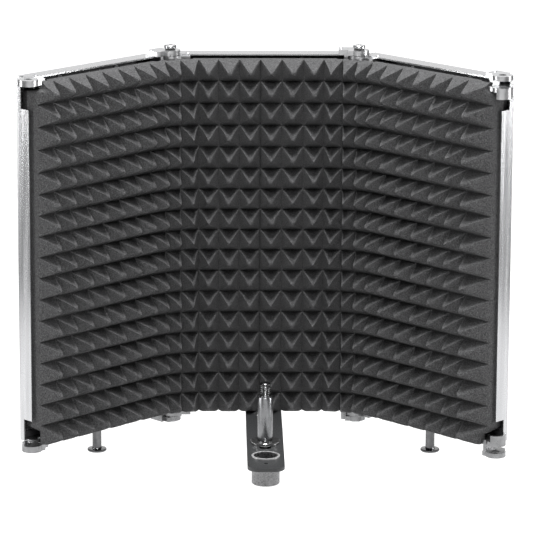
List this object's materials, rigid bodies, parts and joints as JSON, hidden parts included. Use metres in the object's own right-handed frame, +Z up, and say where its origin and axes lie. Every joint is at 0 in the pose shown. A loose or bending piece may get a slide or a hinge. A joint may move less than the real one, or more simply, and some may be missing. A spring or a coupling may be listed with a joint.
{
  "type": "microphone isolation shield",
  "caption": "Folding three-panel desk and stand microphone isolation shield with pyramid foam, hinge lugs, and a bracket with mic post and stand thread.",
  "frame": {"origin": "mouth of the stand thread, on its axis, level with the undersides of the feet", "axes": "+Z up along the stand thread and the hinge pins, foam faces -Y towards the microphone, +X to the right seen from the front"},
  "size_m": [0.4123, 0.2065, 0.3445],
  "materials": {
    "frame": "satin silver",
    "grille": "satin black",
    "foam": "open-cell charcoal foam",
    "lug": "nickel plated",
    "rivet": "plain",
    "bolt": "nickel plated",
    "washer_black": "nylon",
    "foot": "polished",
    "bracket": "textured black",
    "post": "black oxide",
    "washer": "black nickel",
    "collar": "dark nickel, ribbed"
  },
  "bodies": {
    "centre_panel": {"centre_frame": "frame", "centre_rear_grille": "grille", "centre_grille_rivets": "rivet", "centre_foam": "foam", "centre_eye_top": "lug", "centre_eye_bottom": "lug", "centre_fork_top": "lug", "centre_fork_bottom": "lug", "centre_lug_rivets": "rivet", "right_hinge_bolts": "bolt", "right_hinge_washers": "washer_black", "right_hinge_nuts": "bolt", "bracket": "bracket", "bracket_screws": "bolt", "bracket_nuts": "bolt"},
    "left_panel": {"left_frame": "frame", "left_rear_grille": "grille", "left_grille_rivets": "rivet", "left_foam": "foam", "left_eye_top": "lug", "left_eye_bottom": "lug", "left_fork_top": "lug", "left_fork_bottom": "lug", "left_lug_rivets": "rivet", "left_hinge_bolts": "bolt", "left_hinge_washers": "washer_black", "left_hinge_nuts": "bolt", "left_foot": "foot", "left_foot_nut": "bolt"},
    "right_panel": {"right_frame": "frame", "right_rear_grille": "grille", "right_grille_rivets": "rivet", "right_foam": "foam", "right_eye_top": "lug", "right_eye_bottom": "lug", "right_fork_top": "lug", "right_fork_bottom": "lug", "right_lug_rivets": "rivet", "right_foot": "foot", "right_foot_nut": "bolt"},
    "mic_post": {"mic_post": "post", "post_washer": "washer", "post_nut": "washer"},
    "stand_collar": {"stand_collar": "collar", "collar_ring": "collar"}
  },
  "joints": [
    {"name": "left_fold", "type": "hinge", "parent": "centre_panel", "child": "left_panel", "pos_m": [-0.0805, 0.147, 0.18], "axis": [0, 0, 1], "range_deg": [-43.9, 26.1]},
    {"name": "right_fold", "type": "hinge", "parent": "centre_panel", "child": "right_panel", "pos_m": [0.0805, 0.147, 0.18], "axis": [0, 0, -1], "range_deg": [-44.9, 25.1]},
    {"name": "post_slide", "type": "slide", "parent": "centre_panel", "child": "mic_post", "axis": [0, -1, 0], "range_m": [0, 0.014]},
    {"name": "collar_spin", "type": "hinge", "parent": "centre_panel", "child": "stand_collar", "pos_m": [0, 0, 0.01], "axis": [0, 0, 1], "continuous": true}
  ]
}
